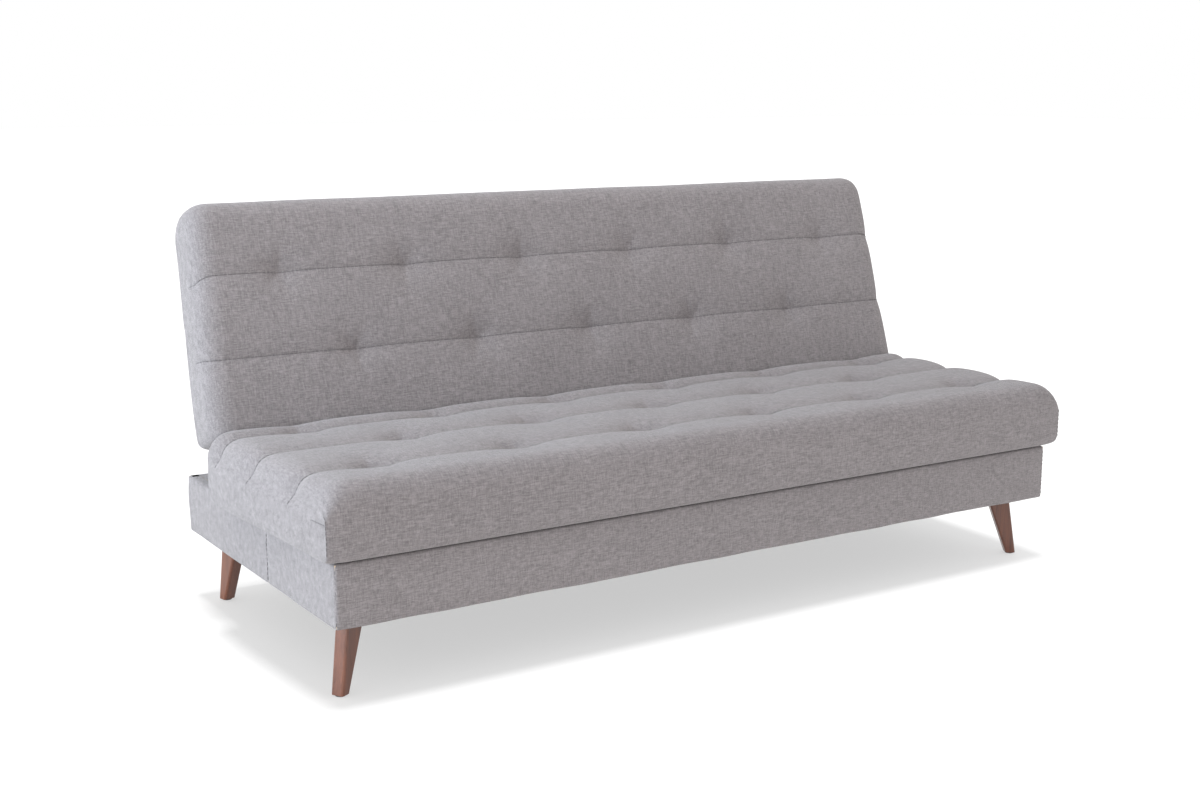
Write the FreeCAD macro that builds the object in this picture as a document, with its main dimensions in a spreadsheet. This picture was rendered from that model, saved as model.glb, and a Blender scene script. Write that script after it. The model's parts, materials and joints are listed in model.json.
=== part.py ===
"""Futon sofa bed: a box base with storage, a lifting seat and a back that reclines flat.

Frame: +Z up, X along the length, the front faces -Y, origin on the floor under the middle of the box.
The back is drawn upright about its hinge line and then leaned back by its Placement.
"""
import FreeCAD, Part
import Sketcher
import math
import os
import re

doc = FreeCAD.newDocument("futon_sofa_bed")
sheet = doc.addObject("Spreadsheet::Sheet", "Sizes")

# Driving dimensions, in millimetres and degrees.
SIZES = {
    # overall
    "seat_length": 1920, "back_length": 1880, "base_length": 1860,
    "base_depth": 825, "base_height": 125, "base_front": -416, "leg_height": 155,
    # shared stock
    "panel": 18, "board": 6, "skin": 1.5, "hem": 22, "cloth": 1, "corner": 6,
    # seat
    "deck_room": 25, "seat_overhang": 20, "seat_gap": 2, "seat_rail": 60, "rail_width": 24,
    "rail_inset": 24, "slat_thick": 8, "slat_width": 70, "slat_pitch": 190,
    "seat_nose": 45, "seat_tail": 20, "seat_heel": 20, "seat_end": 20,
    # hinge line, shared by the seat and the back
    "hinge_y": 178.7, "hinge_drop": 25, "seat_room": 35, "plate": 5, "plate_gap": 1, "head_radius": 20,
    "bolt_radius": 5, "bolt_fit": 0.08, "bolt_head": 9, "bolt_head_thick": 3.5, "slot_room": 4,
    "arm_inner": 888.5, "foot_half": 60, "foot_height": 72, "arm_reach": 300, "arm_width": 40,
    "screw_radius": 2.5, "screw_head": 5, "screw_head_thick": 2.5, "screw_bite": 15,
    # back
    "back_height": 515, "back_thick": 130, "back_lift": -19, "back_lean": 19.5,
    "back_crown": 50, "back_toe": 15, "back_end": 20, "back_rail": 40, "back_rail_edge": 65,
    "back_slat_thick": 6, "back_slat_width": 60, "back_slat_pitch": 230, "back_arm_top": 330,
    # base fittings
    "block": 110, "block_thick": 23.5, "batten": 18, "deck_start": 620, "divider": 15,
    "bumper_radius": 12, "bumper_room": 0.5, "bumper_pitch": 400, "bumper_back": 65,
    "felt_thick": 1.5, "felt_width": 12,
    # legs
    "leg_top": 56, "leg_foot": 24, "leg_side_top": 32, "leg_side_foot": 29, "leg_round": 6,
    "leg_in_x": 67, "leg_in_y": 86, "leg_in_rear_x": 64, "leg_in_rear_y": 113,
    "splay_x": 35, "splay_y": 20, "splay_rear_x": 11, "splay_rear_y": 39,
    "leg_plate": 80, "leg_plate_thick": 2, "leg_bolt": 4, "leg_bolt_bite": 30, "leg_bolt_top": 20,
    "glide_radius": 10, "glide_thick": 3,
}
for row, (alias, value) in enumerate(SIZES.items(), start=1):
    sheet.set(f"A{row}", alias)
    sheet.set(f"B{row}", str(value))
    sheet.setAlias(f"B{row}", alias)
doc.recompute()

# Levels and lines worked out from the driving dimensions.
DERIVED = {
    "box_bottom": "leg_height",
    "box_top": "leg_height + base_height",
    "box_half": "base_length / 2",
    "box_back": "base_front + base_depth",
    "wall_outer": "base_length / 2 - skin",
    "wall_inner": "base_length / 2 - skin - panel",
    "wall_front": "base_front + skin + panel",
    "wall_back": "base_front + base_depth - skin - panel",
    "floor_top": "leg_height + skin + block_thick + board",
    "seat_bottom": "leg_height + base_height + seat_gap",
    "seat_front": "base_front - seat_overhang",
    "seat_top": "leg_height + base_height + deck_room + back_thick",
    "hinge_z": "seat_top - hinge_drop",
    "seat_back": "hinge_y - seat_room",
    "rail_bottom": "leg_height + base_height + seat_gap + skin",
    "rail_top": "leg_height + base_height + seat_gap + skin + seat_rail",
    "foam_bottom": "leg_height + base_height + seat_gap + skin + seat_rail + slat_thick",
    "back_arm_outer": "arm_inner + plate",
    "plate_inner": "arm_inner + plate + plate_gap",
    "plate_outer": "arm_inner + 2 * plate + plate_gap",
    "seat_arm_inner": "arm_inner + 2 * plate + 2 * plate_gap",
    "seat_arm_outer": "arm_inner + 3 * plate + 2 * plate_gap",
    "slot_inner": "arm_inner - plate_gap - bolt_head_thick - slot_room",
    "slot_outer": "arm_inner + 3 * plate + 3 * plate_gap + bolt_head_thick + slot_room / 2",
    "rear_rail_back": "hinge_y - seat_room - rail_inset",
    "arm_level": "leg_height + base_height + seat_gap + skin + seat_rail / 2 + 6",
    "back_front": "-hinge_drop",
    "back_rear": "back_thick - hinge_drop",
    "back_rail_front": "back_thick - hinge_drop - skin - back_rail",
    "back_foam_rear": "back_thick - hinge_drop - skin - back_rail - back_slat_thick",
    "back_rail_low": "back_lift + back_rail_edge",
    "back_rail_high": "back_height - back_crown",
    "deck_front": "base_front + deck_start",
    "splay_front": "sqrt(splay_x ^ 2 + splay_y ^ 2)",
    "splay_rear": "sqrt(splay_rear_x ^ 2 + splay_rear_y ^ 2)",
}
for row, (alias, formula) in enumerate(DERIVED.items(), start=len(SIZES) + 1):
    sheet.set(f"A{row}", alias)
    sheet.set(f"B{row}", "=" + formula)
    sheet.setAlias(f"B{row}", alias)
doc.recompute()

SIDES = (("left", -1), ("right", 1))
nodes = {}


def ref(text):
    """Point every size name in an expression at the sheet."""
    return re.sub(r"[A-Za-z_]\w*", lambda word: f"Sizes.{word.group(0)}", text)


def size(text):
    """The present value of a size or of an expression of sizes."""
    return float(sheet.evalExpression(ref(text)))


def node(name, shape_object):
    """Name a finished sub-part."""
    shape_object.Label = name
    nodes[name] = shape_object
    return shape_object


def place(thing, x, y, z):
    """Bind a placement's base to three expressions."""
    for letter, text in zip("xyz", (x, y, z)):
        thing.setExpression(f"Placement.Base.{letter}", ref(text))


def box(x, y, z, name="stock"):
    """A board between low and high expressions on each axis."""
    thing = doc.addObject("Part::Box", name)
    for prop, (low, high) in zip(("Length", "Width", "Height"), (x, y, z)):
        thing.setExpression(prop, ref(f"({high}) - ({low})"))
    place(thing, x[0], y[0], z[0])
    return thing


def rod(radius, low, high, across, axis="x", name="rod"):
    """A cylinder from low to high along an axis; across holds the other two coordinates in order."""
    thing = doc.addObject("Part::Cylinder", name)
    thing.setExpression("Radius", ref(radius))
    thing.setExpression("Height", ref(f"({high}) - ({low})"))
    if axis == "x":
        thing.Placement = FreeCAD.Placement(FreeCAD.Vector(), FreeCAD.Rotation(FreeCAD.Vector(0, 1, 0), 90))
        place(thing, low, across[0], across[1])
    else:
        place(thing, across[0], across[1], low)
    return thing


def fuse(parts, name="joined"):
    thing = doc.addObject("Part::MultiFuse", name)
    thing.Shapes = parts
    thing.Refine = True
    return thing


def group(parts, name="group"):
    thing = doc.addObject("Part::Compound", name)
    thing.Links = parts
    return thing


def cut(base, tool, name="cut"):
    thing = doc.addObject("Part::Cut", name)
    thing.Base = base
    thing.Tool = tool
    return thing


def sided(side, low, high):
    """A stretch of X on the left (negative) or the right of the middle."""
    return (low, high) if side == "right" else (f"-({high})", f"-({low})")


def lean(name, shape_object):
    """Lean an upright back piece about the hinge line and name it."""
    thing = group([shape_object], name)
    thing.Placement = FreeCAD.Placement(FreeCAD.Vector(), FreeCAD.Rotation(FreeCAD.Vector(-1, 0, 0), 1))
    place(thing, "0", "hinge_y", "hinge_z")
    thing.setExpression("Placement.Rotation.Angle", ref("back_lean"))
    return node(name, thing)


def soft_block(name, half, y, z, rounds, end_round):
    """A padded block: a rectangle in the YZ plane padded along X, long edges rounded one by one, then both ends.

    rounds gives (low or high Y, low or high Z, radius expression) for each long edge that is rounded.
    """
    body = doc.addObject("PartDesign::Body", name)
    plane = next(f for f in body.Origin.OriginFeatures if f.Role == "YZ_Plane")
    sketch = body.newObject("Sketcher::SketchObject", name + "_profile")
    sketch.AttachmentSupport = (plane, [""])
    sketch.MapMode = "FlatFace"
    doc.recompute()
    start = [size(text) for text in (*y, *z)]
    corners = [(start[0], start[2]), (start[1], start[2]), (start[1], start[3]), (start[0], start[3])]
    for here, there in zip(corners, corners[1:] + corners[:1]):
        sketch.addGeometry(Part.LineSegment(FreeCAD.Vector(*here, 0), FreeCAD.Vector(*there, 0)))
    for line in range(4):
        sketch.addConstraint(Sketcher.Constraint("Coincident", line, 2, (line + 1) % 4, 1))
        sketch.addConstraint(Sketcher.Constraint("Horizontal" if line % 2 == 0 else "Vertical", line))
    for kind, line, value, text in (("DistanceX", 0, start[0], y[0]), ("DistanceX", 1, start[1], y[1]),
                                    ("DistanceY", 0, start[2], z[0]), ("DistanceY", 2, start[3], z[1])):
        index = sketch.addConstraint(Sketcher.Constraint(kind, -1, 1, line, 1, value))
        sketch.setExpression(f"Constraints[{index}]", ref(text))
    pad = body.newObject("PartDesign::Pad", name + "_pad")
    pad.Profile = sketch
    pad.Midplane = True
    pad.setExpression("Length", ref(f"2 * ({half})"))
    doc.recompute()
    last = pad
    for number, (along, up, radius) in enumerate(rounds):
        target_y = start[1] if along == "high" else start[0]
        target_z = start[3] if up == "high" else start[2]
        edge = nearest_edge(last.Shape, FreeCAD.Vector(0, target_y, target_z))
        last = round_edges(body, last, [edge], radius, f"{name}_round{number}")
    ends = [f"Face{i}" for i, face in enumerate(last.Shape.Faces, start=1) if face.BoundBox.XLength < 1e-3]
    round_edges(body, last, ends, end_round, name + "_ends")
    return body


def nearest_edge(shape, point):
    """The name of the straight edge whose middle is nearest a point."""
    gaps = [(edge.CenterOfMass.distanceToPoint(point), i) for i, edge in enumerate(shape.Edges, start=1)]
    return f"Edge{min(gaps)[1]}"


def round_edges(body, last, names, radius, name):
    fillet = body.newObject("PartDesign::Fillet", name)
    fillet.Base = (last, names)
    fillet.setExpression("Radius", ref(radius))
    doc.recompute()
    return fillet


# ---- Base: a storage box of boards in a fabric sleeve, on four legs ----

wall_z = ("leg_height + skin", "box_top - skin")
full_x = ("-wall_outer", "wall_outer")
node("front_panel", box(full_x, ("base_front + skin", "wall_front"), wall_z))
node("rear_panel", box(full_x, ("wall_back", "box_back - skin"), wall_z))
inner_x = ("-wall_inner", "wall_inner")
inner_y = ("wall_front", "wall_back")

for side, sign in SIDES:
    end_x = sided(side, "wall_inner", "wall_outer")
    screws = group([
        rod("screw_radius", *(sided(side, "plate_inner", "wall_inner + screw_bite")),
            (f"hinge_y + {dy} * (foot_half - 12)", f"floor_top + foot_height * {up}"))
        for dy in (-1, 1) for up in (0.25, 0.75)], "screw_holes")
    node(f"end_panel_{side}", cut(box(end_x, inner_y, wall_z), screws))
    hinge_line = ("hinge_y", "hinge_z")
    plate_x = sided(side, "plate_inner", "plate_outer")
    strip_y = ("hinge_y - head_radius", "hinge_y + head_radius")
    foot_y = ("hinge_y - foot_half", "hinge_y + foot_half")
    foot_z = ("floor_top + 2", "floor_top + foot_height")
    plate = fuse([box(plate_x, strip_y, ("floor_top + 2", "hinge_z")), box(plate_x, foot_y, foot_z),
                  rod("head_radius", *plate_x, hinge_line)])
    eye = rod("bolt_radius + bolt_fit", *plate_x, hinge_line)
    node(f"hinge_plate_{side}", cut(cut(plate, eye), screws))
    node(f"hinge_spacer_{side}", cut(box(sided(side, "plate_outer", "wall_inner"), foot_y, foot_z), screws))

screw_rows = []
bolts = []
nuts = []
for side, sign in SIDES:
    for dy in (-1, 1):
        for up in (0.25, 0.75):
            line = (f"hinge_y + {dy} * (foot_half - 12)", f"floor_top + foot_height * {up}")
            shank = rod("screw_radius", *sided(side, "plate_inner", "wall_inner + screw_bite"), line)
            head = rod("screw_head", *sided(side, "plate_inner - screw_head_thick", "plate_inner"), line)
            screw_rows.append(fuse([shank, head]))
    line = ("hinge_y", "hinge_z")
    shank = rod("bolt_radius", *sided(side, "arm_inner - plate_gap", "seat_arm_outer + plate_gap"), line)
    head = rod("bolt_head", *sided(side, "arm_inner - plate_gap - bolt_head_thick", "arm_inner - plate_gap"), line)
    bolts.append(fuse([shank, head]))
    nuts.append(rod("bolt_head", *sided(side, "seat_arm_outer + plate_gap",
                                        "seat_arm_outer + plate_gap + bolt_head_thick"), line))
node("hinge_plate_screws", group(screw_rows))
node("hinge_bolts", group(bolts))
node("hinge_nuts", group(nuts))

corners = [(side, sign, end) for side, sign in SIDES for end in ("front", "rear")]


def corner_y(end, inset):
    """A distance in from the front or the back of the box."""
    return f"base_front + {inset}" if end == "front" else f"box_back - {inset}"


blocks = []
leg_plates = []
leg_bolts = []
glides = []
plate_pockets = []
leg_blanks = {}
for side, sign, end in corners:
    block_x = sided(side, "wall_inner - block", "wall_inner")
    block_y = ("wall_front", "wall_front + block") if end == "front" else ("wall_back - block", "wall_back")
    in_x, in_y = ("leg_in_x", "leg_in_y") if end == "front" else ("leg_in_rear_x", "leg_in_rear_y")
    centre_x = f"{sign} * (box_half - {in_x})"
    centre_y = corner_y(end, in_y)
    blocks.append(box(block_x, block_y, ("leg_height + skin", "leg_height + skin + block_thick")))
    around = [(f"{centre_x} - leg_plate / 2 - {room}", f"{centre_x} + leg_plate / 2 + {room}",
               f"{centre_y} - leg_plate / 2 - {room}", f"{centre_y} + leg_plate / 2 + {room}") for room in (0, 1)]
    plate_z = ("leg_height + skin - leg_plate_thick", "leg_height + skin")
    leg_plates.append(box(around[0][:2], around[0][2:], plate_z))
    plate_pockets.append(box(around[1][:2], around[1][2:], ("leg_height - 1", "leg_height + skin + 1")))
    leg_bolts.append(rod("leg_bolt", "leg_height + skin - leg_plate_thick - leg_bolt_bite",
                         "leg_height + skin + leg_bolt_top", (centre_x, centre_y), "z"))
    out_x, out_y = ("splay_x", "-splay_y") if end == "front" else ("splay_rear_x", "splay_rear_y")
    foot_x = f"{centre_x} + {sign} * {out_x}"
    foot_y = f"{centre_y} + {out_y}"
    glides.append(rod("glide_radius", "0", "glide_thick", (foot_x, foot_y), "z"))
    turn = sign * math.degrees(math.atan2(size(out_y), size(out_x)))
    reach = f"{sign} * splay_front" if end == "front" else f"{sign} * splay_rear"
    wedge = doc.addObject("Part::Wedge", "leg_blank")
    upright = FreeCAD.Rotation(FreeCAD.Vector(1, 0, 0), 90)
    facing = FreeCAD.Rotation(FreeCAD.Vector(0, 0, 1), turn)
    wedge.Placement = FreeCAD.Placement(FreeCAD.Vector(), facing.multiply(upright))
    place(wedge, foot_x, foot_y, "glide_thick")
    leg_rise = "leg_height + skin - leg_plate_thick - glide_thick"
    for prop, text in (("Xmin", "-leg_foot / 2"), ("Xmax", "leg_foot / 2"),
                       ("Zmin", "-leg_side_foot / 2"), ("Zmax", "leg_side_foot / 2"),
                       ("Ymin", "0"), ("Ymax", leg_rise),
                       ("X2min", f"-({reach}) - leg_top / 2"), ("X2max", f"-({reach}) + leg_top / 2"),
                       ("Z2min", "-leg_side_top / 2"), ("Z2max", "leg_side_top / 2")):
        wedge.setExpression(prop, ref(text))
    leg_blanks[(side, end)] = wedge

node("leg_plates", cut(group(leg_plates), group(leg_bolts)))
node("leg_bolts", group(leg_bolts))
node("leg_glides", group(glides))
node("corner_blocks", cut(group(blocks), group(leg_bolts)))
doc.recompute()

for (side, end), blank in leg_blanks.items():
    leg = doc.addObject("Part::Fillet", "rounded_leg")
    leg.Base = blank
    leg.Edges = [(number, size("leg_round"), size("leg_round"))
                 for number, edge in enumerate(blank.Shape.Edges, start=1) if edge.BoundBox.ZLength > size("leg_top")]
    node(f"leg_{end}_{side}", cut(leg, group(leg_bolts)))

batten_z = ("leg_height + skin + block_thick - batten", "leg_height + skin + block_thick")
batten_x = ("-(wall_inner - block)", "wall_inner - block")
node("floor_battens", group([box(batten_x, ("wall_front", "wall_front + batten"), batten_z),
                             box(batten_x, ("wall_back - batten", "wall_back"), batten_z)]))
floor_z = ("leg_height + skin + block_thick", "floor_top")
node("base_floor", box(inner_x, inner_y, floor_z))
deck_z = ("box_top - skin - panel", "box_top - skin")
node("rear_deck", box(inner_x, ("deck_front", "wall_back"), deck_z))
node("centre_divider", box(("-divider / 2", "divider / 2"), ("wall_front", "deck_front"),
                           ("floor_top", "box_top - skin")))
node("deck_posts", group([box(sided(side, "wall_inner - batten", "wall_inner"), ("wall_back - batten", "wall_back"),
                              ("floor_top", "box_top - skin - panel")) for side, sign in SIDES]))

opening_x = ("-(box_half - hem)", "box_half - hem")
opening_y = ("base_front + hem", "box_back - hem")
sleeve = soft_block("sleeve_outside", "box_half", ("base_front", "box_back"), ("leg_height", "box_top"), (), "corner / 4")
hollow = box(("-wall_outer", "wall_outer"), ("base_front + skin", "box_back - skin"),
             ("leg_height + skin", "box_top - skin"), "sleeve_inside")
mouths = box(opening_x, opening_y, ("leg_height - 1", "box_top + 1"), "sleeve_mouths")
node("base_cover", cut(sleeve, fuse([hollow, mouths])))
node("deck_cover", box(opening_x, ("deck_front", "box_back - hem"), ("box_top - skin", "box_top")))
lining = box(opening_x, opening_y, ("leg_height + skin - cloth", "leg_height + skin"), "lining")
node("base_dust_cover", cut(lining, group(plate_pockets)))
bumper_z = ("box_top", "hinge_z - back_rear - bumper_room")
node("deck_bumpers", group([rod("bumper_radius", *bumper_z, (f"{step} * bumper_pitch", "box_back - bumper_back"), "z")
                            for step in (-1.75, -0.75, 0.75, 1.75)]))
felt_y = ("base_front + skin + 2", "base_front + skin + 2 + felt_width")
node("seat_felt_strip", box(("-(wall_inner - panel)", "wall_inner - panel"), felt_y,
                            ("box_top", "box_top + felt_thick")))

# ---- Seat: a rail frame with slats and foam, in a cover that wraps under its rails ----

slots = group([box(sided(side, "seat_arm_inner - plate_gap", "seat_arm_outer + plate_gap"),
                   ("rear_rail_back", "seat_back + 1"),
                   ("arm_level - arm_width / 2 - plate_gap", "arm_level + arm_width / 2 + plate_gap"))
               for side, sign in SIDES], "arm_openings")


def seat_block(name, inset):
    """The seat's padded outline, drawn in by an inset all round."""
    return soft_block(name, f"seat_length / 2 - {inset}", (f"seat_front + {inset}", f"seat_back - {inset}"),
                      (f"seat_bottom + {inset}", f"seat_top - {inset}"),
                      (("low", "high", f"seat_nose - {inset}"), ("high", "high", f"seat_tail - {inset}"),
                       ("high", "low", f"seat_heel - {inset}"), ("low", "low", f"seat_heel - {inset}")),
                      f"seat_end - {inset}")


seat_outside = seat_block("seat_outside", "0")
seat_inside = seat_block("seat_inside", "skin")
under_x = ("-(seat_arm_outer + rail_width / 4)", "seat_arm_outer + rail_width / 4")
under_y = ("seat_front + 2 * hem", "seat_back - 2 * hem")
mouth = box(under_x, under_y, ("seat_bottom - 1", "seat_bottom + skin + 1"), "seat_mouth")
node("seat_cover", cut(cut(cut(seat_outside, seat_inside), mouth), slots))
rails_y = ("seat_front + rail_inset", "rear_rail_back")
above = box(("-seat_length", "seat_length"), ("seat_front - 1", "seat_back + 1"), ("foam_bottom", "seat_top + 1"))
foam = doc.addObject("Part::Common", "seat_foam_block")
foam.Base = seat_inside
foam.Tool = above
node("seat_foam", foam)
node("seat_dust_cover", box(under_x, under_y, ("seat_bottom + skin - cloth", "seat_bottom + skin")))

rail_z = ("rail_bottom", "rail_top")
between_rails = ("seat_front + rail_inset + rail_width", "rear_rail_back - rail_width")
node("seat_front_rail", box(("-seat_arm_outer", "seat_arm_outer"),
                            ("seat_front + rail_inset", "seat_front + rail_inset + rail_width"), rail_z))
node("seat_rear_rail", box(("-seat_arm_inner", "seat_arm_inner"), ("rear_rail_back - rail_width", "rear_rail_back"),
                           rail_z))
node("seat_centre_rail", box(("-rail_width / 2", "rail_width / 2"), between_rails, rail_z))
slats = [box((f"{step} * slat_pitch - slat_width / 2", f"{step} * slat_pitch + slat_width / 2"), rails_y,
             ("rail_top", "foam_bottom")) for step in range(-4, 5)]
node("seat_slats", group(slats))

seat_screws = []
for side, sign in SIDES:
    arm_x = sided(side, "seat_arm_inner", "seat_arm_outer")
    holes = []
    for step in (0.34, 0.53, 0.72, 0.92):
        line = (f"hinge_y - arm_reach * {step}", "arm_level")
        shank = rod("screw_radius", *sided(side, "seat_arm_inner", "seat_arm_outer + screw_bite"), line)
        head = rod("screw_head", *sided(side, "seat_arm_inner - screw_head_thick", "seat_arm_inner"), line)
        seat_screws.append(fuse([shank, head]))
        holes.append(shank)
    drilled = group(holes)
    level_z = ("arm_level - arm_width / 2", "arm_level + arm_width / 2")
    strip_y = ("hinge_y - head_radius", "hinge_y + head_radius")
    arm = fuse([box(arm_x, ("hinge_y - arm_reach", "hinge_y + head_radius"), level_z),
                box(arm_x, strip_y, ("arm_level - arm_width / 2", "hinge_z")),
                rod("head_radius", *arm_x, ("hinge_y", "hinge_z"))])
    eye = rod("bolt_radius + bolt_fit", *arm_x, ("hinge_y", "hinge_z"))
    node(f"seat_arm_{side}", cut(cut(arm, eye), drilled))
    rail_x = sided(side, "seat_arm_outer", "seat_arm_outer + rail_width")
    rail = box(rail_x, rails_y, rail_z)
    node(f"seat_end_rail_{side}", cut(rail, drilled))
node("seat_arm_screws", group(seat_screws))

# ---- Back: the same build upright about the hinge line (Y forward to back, Z up the back) ----



def back_block(name, inset):
    """The back's padded outline, drawn in by an inset all round."""
    return soft_block(name, f"back_length / 2 - {inset}", (f"back_front + {inset}", f"back_rear - {inset}"),
                      (f"back_lift + {inset}", f"back_height - {inset}"),
                      (("low", "high", f"back_crown - {inset}"), ("high", "high", f"back_crown - {inset}"),
                       ("low", "low", f"back_toe - {inset}"), ("high", "low", f"back_toe - {inset}")),
                      f"back_end - {inset}")


arm_slots = group([box(sided(side, "arm_inner - plate_gap", "back_arm_outer + plate_gap"),
                       ("-(head_radius / 2)", "back_rail_front + head_radius"),
                       ("back_lift - 1", "back_rail_low + foot_height")) for side, sign in SIDES], "arm_slots")
hinge_slots = group([box(sided(side, "slot_inner", "slot_outer"), ("back_front + skin", "back_rear + 1"),
                         ("back_lift - 1", "head_radius + slot_room")) for side, sign in SIDES], "hinge_slots")
back_outside = back_block("back_outside", "0")
back_inside = back_block("back_inside", "skin")
rear_x = ("-(back_length / 2 - 2 * hem)", "back_length / 2 - 2 * hem")
rear_z = ("back_rail_low + hem / 2", "back_height - 3 * hem")
rear_mouth = box(rear_x, ("back_rear - skin - 1", "back_rear + 1"), rear_z, "rear_mouth")
lean("back_cover", cut(cut(cut(back_outside, back_inside), rear_mouth), hinge_slots))
lean("back_rear_cloth", box(rear_x, ("back_rear - skin", "back_rear - skin + cloth"), rear_z))
padding = fuse([box(("-back_length", "back_length"), ("back_front - 1", "back_foam_rear"),
                    ("back_lift - 1", "back_height + 1")),
                box(("-back_length", "back_length"), ("back_front - 1", "back_rear + 1"),
                    ("back_lift - 1", "back_rail_low"))])
back_foam = doc.addObject("Part::Common", "back_foam_block")
back_foam.Base = back_inside
back_foam.Tool = padding
lean("back_foam", cut(cut(back_foam, arm_slots), hinge_slots))

frame_y = ("back_rail_front", "back_rear - skin")
end_outer = "back_arm_outer + rail_width"
low_z = ("back_rail_low", "back_rail_low + back_rail")
high_z = ("back_rail_high - back_rail", "back_rail_high")
upright_z = ("back_rail_low + back_rail", "back_rail_high - back_rail")
lean("back_bottom_rail", box(("-arm_inner", "arm_inner"), frame_y, low_z))
lean("back_top_rail", box((f"-({end_outer})", end_outer), frame_y, high_z))
lean("back_centre_rail", box(("-rail_width / 2", "rail_width / 2"), frame_y, upright_z))
back_slats = [box((f"{step} * back_slat_pitch - back_slat_width / 2", f"{step} * back_slat_pitch + back_slat_width / 2"),
                  ("back_foam_rear", "back_rail_front"), ("back_rail_low", "back_rail_high"))
              for step in (-3.5, -2.5, -1.5, -0.5, 0.5, 1.5, 2.5, 3.5)]
lean("back_slats", group(back_slats))

back_screws = []
for side, sign in SIDES:
    arm_x = sided(side, "arm_inner", "back_arm_outer")
    holes = []
    for up in (0.4, 0.6, 0.8, 0.95):
        line = ("back_rail_front + back_rail / 2", f"back_arm_top * {up}")
        shank = rod("screw_radius", *sided(side, "arm_inner", "back_arm_outer + screw_bite"), line)
        head = rod("screw_head", *sided(side, "arm_inner - screw_head_thick", "arm_inner"), line)
        back_screws.append(fuse([shank, head]))
        holes.append(shank)
    drilled = group(holes)
    bend = FreeCAD.Vector(0, size("back_rail_front + back_rail / 2"), size("back_rail_low + back_rail"))
    across = FreeCAD.Vector(0, bend.z, -bend.y) * (size("head_radius") / bend.Length)
    outline = [across, bend + across, bend - across, across * -1, across]
    blade = doc.addObject("Part::Feature", "slanting_blade")
    blade.Shape = Part.Face(Part.makePolygon(outline)).extrude(FreeCAD.Vector(size("plate"), 0, 0))
    blade.Placement = FreeCAD.Placement(FreeCAD.Vector(size(arm_x[0]), 0, 0), FreeCAD.Rotation())
    upright_y = ("back_rail_front + back_rail / 2 - head_radius", "back_rail_front + back_rail / 2 + head_radius")
    knee = ("back_rail_front + back_rail / 2", "back_rail_low + back_rail")
    arm = fuse([blade, rod("head_radius", *arm_x, ("0", "0")), rod("head_radius", *arm_x, knee),
                box(arm_x, upright_y, (knee[1], "back_arm_top"))])
    eye = rod("bolt_radius + bolt_fit", *arm_x, ("0", "0"))
    lean(f"back_arm_{side}", cut(cut(arm, eye), drilled))
    end_x = sided(side, "back_arm_outer", end_outer)
    end_z = ("back_rail_low", "back_rail_high - back_rail")
    lean(f"back_end_rail_{side}", cut(box(end_x, frame_y, end_z), drilled))
lean("back_arm_screws", group(back_screws))

# ---- Check everything, then write one file for each node ----

doc.recompute()
for thing in doc.Objects:
    if "Invalid" in thing.State or "Error" in thing.State:
        raise RuntimeError(f"{thing.Name} ({thing.Label}) failed to recompute: {thing.State}")
os.makedirs("parts", exist_ok=True)
for name, thing in nodes.items():
    if thing.Shape.isNull() or not thing.Shape.isValid():
        raise RuntimeError(f"{name} has no valid shape")
    thing.Shape.exportStep(f"parts/{name}.step")
print(len(nodes), "nodes written")
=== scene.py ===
"""Futon sofa bed: upholstery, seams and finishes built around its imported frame."""
import json
import math

import bmesh
import bpy
from mathutils import Matrix, Vector, noise


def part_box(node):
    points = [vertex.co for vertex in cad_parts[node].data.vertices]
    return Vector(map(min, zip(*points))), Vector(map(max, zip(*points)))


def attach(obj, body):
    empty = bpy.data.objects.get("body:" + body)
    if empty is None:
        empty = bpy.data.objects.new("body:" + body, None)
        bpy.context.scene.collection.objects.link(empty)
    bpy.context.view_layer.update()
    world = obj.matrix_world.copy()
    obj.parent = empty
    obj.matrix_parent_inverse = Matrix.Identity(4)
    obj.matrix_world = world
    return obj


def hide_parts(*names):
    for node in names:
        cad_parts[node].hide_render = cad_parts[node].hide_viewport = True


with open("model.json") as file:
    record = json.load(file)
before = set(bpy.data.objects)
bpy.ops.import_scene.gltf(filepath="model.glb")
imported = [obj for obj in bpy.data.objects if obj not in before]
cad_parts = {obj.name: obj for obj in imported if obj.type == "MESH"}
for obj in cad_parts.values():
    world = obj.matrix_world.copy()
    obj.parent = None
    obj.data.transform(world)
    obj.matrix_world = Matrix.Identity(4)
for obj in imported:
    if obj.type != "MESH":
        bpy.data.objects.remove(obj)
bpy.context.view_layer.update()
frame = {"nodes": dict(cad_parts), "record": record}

bl_info = {
    "name": "Futon sofa bed",
    "version": (1, 0, 0),
    "blender": (4, 5, 0),
    "location": "3D View > Sidebar > Futon",
    "description": "Upholstery, stitching and finishes for a reclining sofa bed",
    "category": "Object",
}

JOINTS = {joint["name"]: joint for joint in frame["record"]["behaviour"]["joints"]}
HINGE = Vector(JOINTS["back_recline"]["pos_m"])


# ---- Settings ------------------------------------------------------------------------------------

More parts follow.
